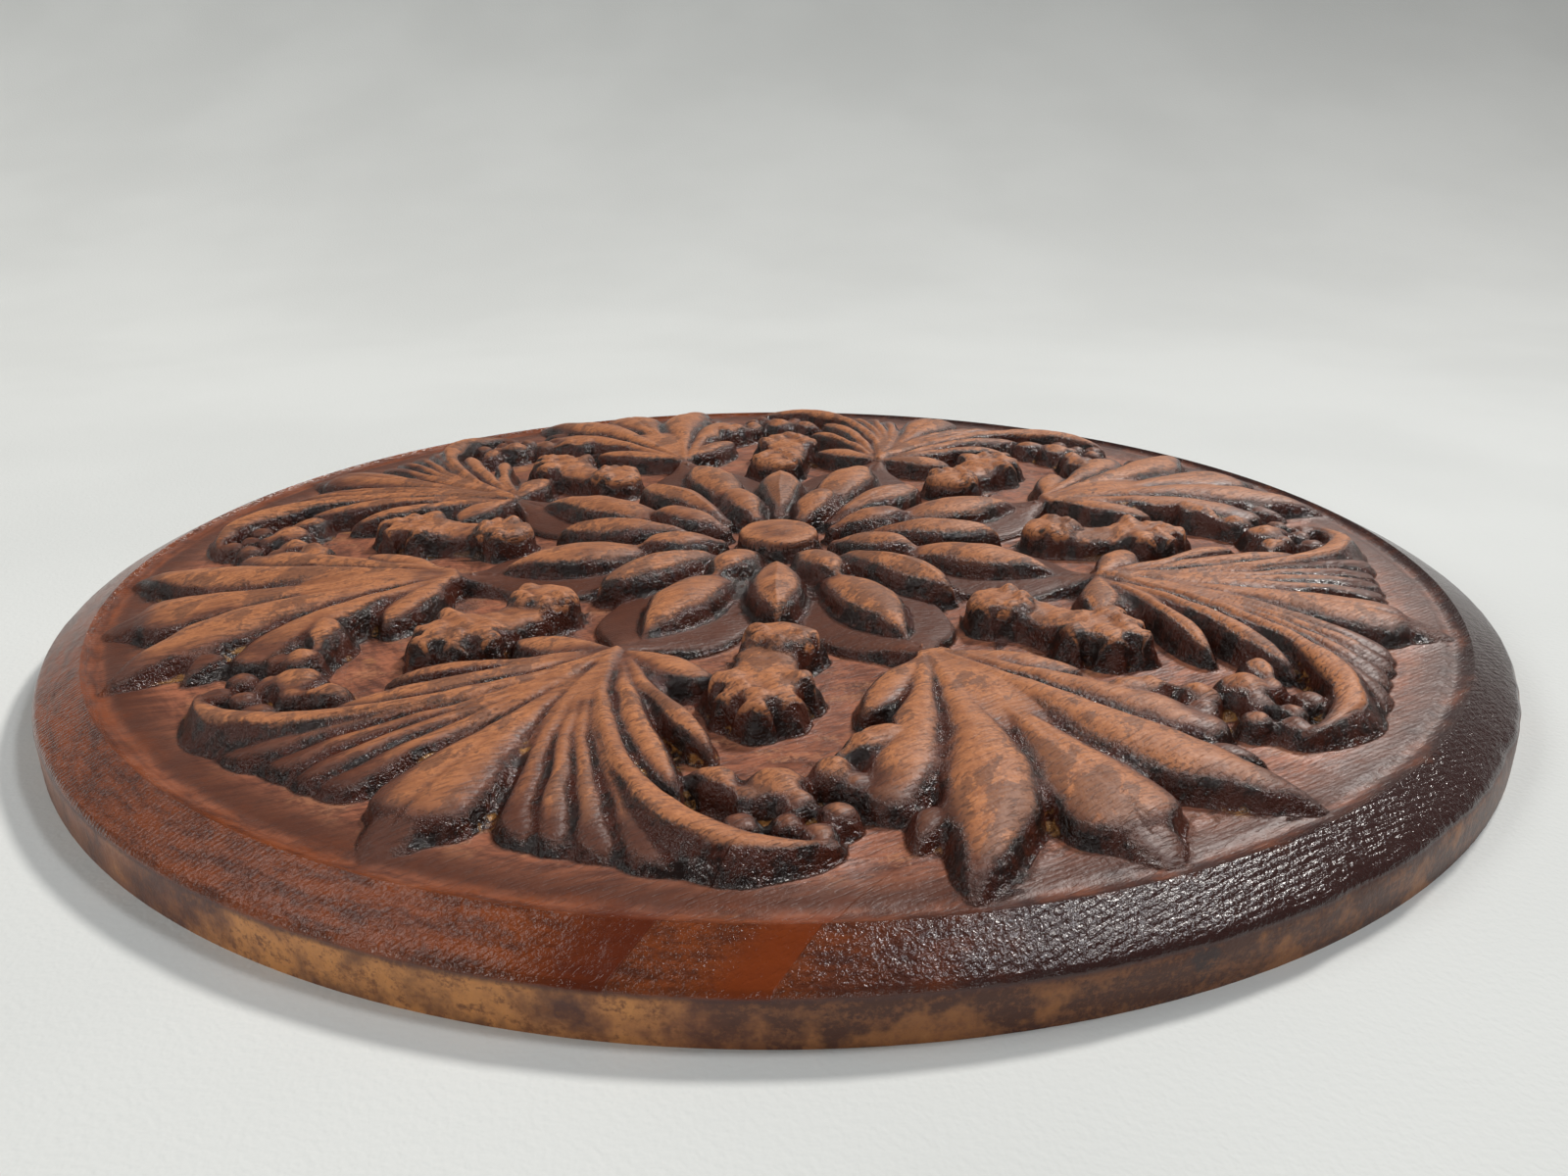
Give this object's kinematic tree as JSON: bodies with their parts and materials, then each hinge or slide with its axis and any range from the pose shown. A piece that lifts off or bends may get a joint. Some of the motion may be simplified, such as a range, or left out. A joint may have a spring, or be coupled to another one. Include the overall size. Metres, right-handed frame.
{
  "type": "carved wooden relief roundel",
  "caption": "Round carved wooden wall relief: lobed leaves, curled fluted leaves, grape bunches and a petalled rosette inside a sloped rim, flat at the back.",
  "frame": {"origin": "centre of the flat back face, the face that meets the wall or the table", "axes": "+Z out of the carved front along the roundel's axis; the grape bunches lie on X and Y and on the diagonals, with plain leaves at 22.5, 112.5, 202.5 and 292.5 degrees and curled leaves between them"},
  "size_m": [0.33, 0.33, 0.0193],
  "materials": {
    "stained_wood": "dark red-brown stain rubbed back on the high carving, under uneven gloss varnish"
  },
  "bodies": {
    "root": {"carved_roundel": "stained_wood"}
  },
  "joints": []
}
